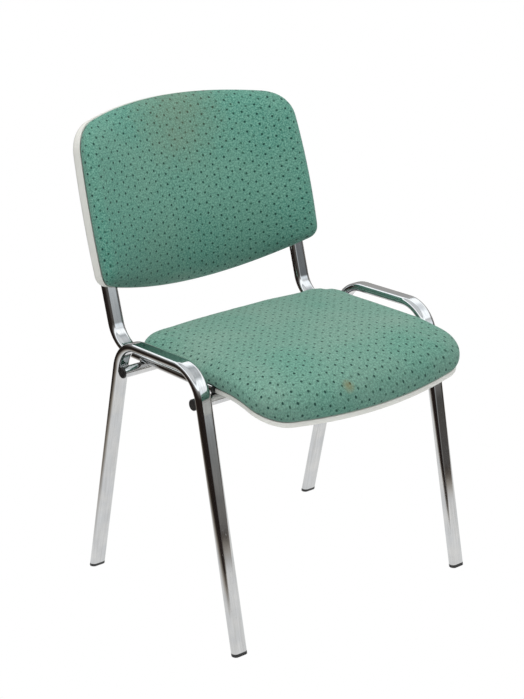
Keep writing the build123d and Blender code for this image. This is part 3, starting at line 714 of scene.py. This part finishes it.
# The studio: a pale paper floor, an even white surround and one large soft lamp overhead.
# Polished metal mirrors a floor that darkens away from the chair and a ceiling with a
# bright band, as in a real room; everything else is lit evenly.
floor_mesh = bpy.data.meshes.new("paper_floor")
floor_mesh.from_pydata([(-9, -9, 0), (9, -9, 0), (9, 9, 0), (-9, 9, 0)], [], [(0, 1, 2, 3)])
floor = bpy.data.objects.new("paper_floor", floor_mesh)
bpy.context.scene.collection.objects.link(floor)
paper, tree, shader = new_material("pale_paper", Roughness=0.9)
shader.inputs["Base Color"].default_value = linear("#F2F4F6")
place = add_node(tree, "ShaderNodeTexCoord").outputs["Object"]
away = add_node(tree, "ShaderNodeVectorMath", operation="DISTANCE", i0=place, i1=(0.35, -0.35, 0))
away = calc(tree, "MULTIPLY", away.outputs["Value"], 0.5)
room_floor = ramp(tree, away, (0.44, "#FFFFFF"), (0.61, "#A8A096"), (0.72, "#6E665E"), (0.85, "#2E2621"))
mirrored = add_node(tree, "ShaderNodeEmission", Color=room_floor, Strength=1.0)
white = add_node(tree, "ShaderNodeEmission", Color=(1, 1, 1, 1), Strength=1.0)


def by_ray(tree, kind, otherwise, shown):
    """Shows one shader to a kind of ray and another to the rest."""
    ray = add_node(tree, "ShaderNodeLightPath").outputs[kind]
    return add_node(tree, "ShaderNodeMixShader", i0=ray, i1=otherwise.outputs[0], i2=shown.outputs[0])


real = by_ray(tree, "Is Glossy Ray", shader, mirrored)
shown = by_ray(tree, "Is Camera Ray", real, white)
tree.links.new(shown.outputs[0], tree.nodes["Material Output"].inputs[0])
floor_mesh.materials.append(paper)

world = bpy.data.worlds.new("studio")
bpy.context.scene.world = world
world.use_nodes = True
tree = world.node_tree
seen = add_node(tree, "ShaderNodeBackground", Color=(1, 1, 1, 1), Strength=1.0)
lit = add_node(tree, "ShaderNodeBackground", Color=(1, 1, 1, 1), Strength=0.75)
direction = add_node(tree, "ShaderNodeTexCoord").outputs["Generated"]
upward = add_node(tree, "ShaderNodeSeparateXYZ", Vector=direction).outputs[2]
bright_band = (0.58, "#F8FCFF"), (0.71, "#F4F8FB")
ceiling = ramp(tree, upward, (0.44, "#C0C4C8"), *bright_band, (0.79, "#9BA0A3"), (0.86, "#C0C3C5"))
mirrored = add_node(tree, "ShaderNodeBackground", Color=ceiling, Strength=1.8)
shown = by_ray(tree, "Is Camera Ray", by_ray(tree, "Is Glossy Ray", lit, mirrored), seen)
tree.links.new(shown.outputs[0], tree.nodes["World Output"].inputs[0])

lamp = bpy.data.lights.new("overhead_softbox", "AREA")
lamp.shape, lamp.size, lamp.energy = "DISK", 2.2, 60
softbox = bpy.data.objects.new("overhead_softbox", lamp)
softbox.location = (-0.6, -0.8, 3.0)
softbox.rotation_euler = (Vector((0, 0, 0.4)) - softbox.location).to_track_quat("-Z", "Y").to_euler()
softbox.visible_glossy = False
bpy.context.scene.collection.objects.link(softbox)

# A low wall stands round the chair and only polished metal mirrors it: a dark room to the
# left and behind, windows over a low cupboard to the front right, and a grey right wall.
WALL_RADIUS, WALL_HEIGHT, WALL_SIDES = 2.2, 1.7, 96
angles = [2 * math.pi * k / WALL_SIDES for k in range(WALL_SIDES)]
points = [
    (WALL_RADIUS * math.cos(angle), WALL_RADIUS * math.sin(angle), z)
    for z in (0.0, WALL_HEIGHT)
    for angle in angles
]
pairs = [(k, (k + 1) % WALL_SIDES) for k in range(WALL_SIDES)]
faces = [(k, n, WALL_SIDES + n, WALL_SIDES + k) for k, n in pairs]
wall_mesh = bpy.data.meshes.new("room_wall")
wall_mesh.from_pydata(points, [], faces)
wall = bpy.data.objects.new("room_wall", wall_mesh)
bpy.context.scene.collection.objects.link(wall)
room, tree, shader = new_material("room_wall")
place = add_node(tree, "ShaderNodeTexCoord").outputs["Object"]
apart = add_node(tree, "ShaderNodeSeparateXYZ", Vector=place)
turn = calc(tree, "ARCTAN2", apart.outputs[0], calc(tree, "MULTIPLY", apart.outputs[1], -1.0))
turn = calc(tree, "MULTIPLY_ADD", turn, 1 / (2 * math.pi), 0.5)
height = calc(tree, "DIVIDE", apart.outputs[2], WALL_HEIGHT)
dark_side = ramp(
    tree, height, (0.0, "#322A26"), (0.03, "#1F1917"), (0.40, "#28221E"), (0.65, "#5A5754"), (1.0, "#999998")
)
near_window = ramp(
    tree,
    height,
    (0.0, "#6C6A68"),
    (0.05, "#6D6B69"),
    (0.11, "#7A7A79"),
    (0.17, "#808282"),
    (0.20, "#9EA0A0"),
    (0.25, "#9DA2A5"),
    (0.29, "#3E474C"),
    (0.33, "#5E676C"),
    (0.42, "#8C9296"),
    (0.52, "#A4A8AA"),
    (0.66, "#E8F0F6"),
    (1.0, "#F4F8FB"),
)
far_window = ramp(
    tree,
    height,
    (0.0, "#504E4C"),
    (0.12, "#444240"),
    (0.14, "#605E5C"),
    (0.16, "#80807E"),
    (0.25, "#8F9294"),
    (0.29, "#3E474C"),
    (0.33, "#5E676C"),
    (0.42, "#666A6C"),
    (0.54, "#6F7274"),
    (0.68, "#E8F0F6"),
    (1.0, "#F4F8FB"),
)


def around(degrees):
    """A place on the wall, counted from straight in front of the chair towards +X."""
    return 0.5 + degrees / 360


window = ramp(tree, turn, (around(12), 0.0), (around(26), 1.0), (around(48), 1.0), (around(56), 0.0))
farther = ramp(tree, turn, (around(32), 0.0), (around(40), 1.0))
window_side = blend_colours(tree, farther, near_window, far_window)
seen = blend_colours(tree, window, dark_side, window_side)
right = ramp(tree, turn, (around(62), 0.0), (around(85), 1.0), (around(165), 1.0), (around(179), 0.0))
grey_wall = ramp(tree, height, (0.0, "#5E5A56"), (0.3, "#8E8C8A"), (1.0, "#AEAEAE"))
seen = blend_colours(tree, right, seen, grey_wall)
glow = add_node(tree, "ShaderNodeEmission", Color=seen, Strength=1.5)
tree.links.new(glow.outputs[0], tree.nodes["Material Output"].inputs[0])
wall_mesh.materials.append(room)
wall.visible_camera = wall.visible_diffuse = wall.visible_shadow = False
wall.visible_transmission = wall.visible_volume_scatter = False

# The camera looks down from the front left, from a little over three metres away.
lens = bpy.data.cameras.new("camera")
lens.sensor_width, lens.lens, lens.clip_end = 36.0, 93.56, 50
camera = bpy.data.objects.new("camera", lens)
bpy.context.scene.collection.objects.link(camera)
azimuth, elevation, roll = math.radians(-39.41), math.radians(20.84), math.radians(0.31)
toward = Vector(
    (math.sin(azimuth) * math.cos(elevation), -math.cos(azimuth) * math.cos(elevation), math.sin(elevation))
)
looked_at, distance = Vector((-0.0213, -0.0201, 0.4253)), 3.222
camera.location = looked_at + toward * distance
camera.rotation_mode = "QUATERNION"
camera.rotation_quaternion = (-toward).to_track_quat("-Z", "Y") @ Quaternion((0, 0, 1), roll)
bpy.context.scene.camera = camera
bpy.context.scene.view_settings.view_transform = "Standard"
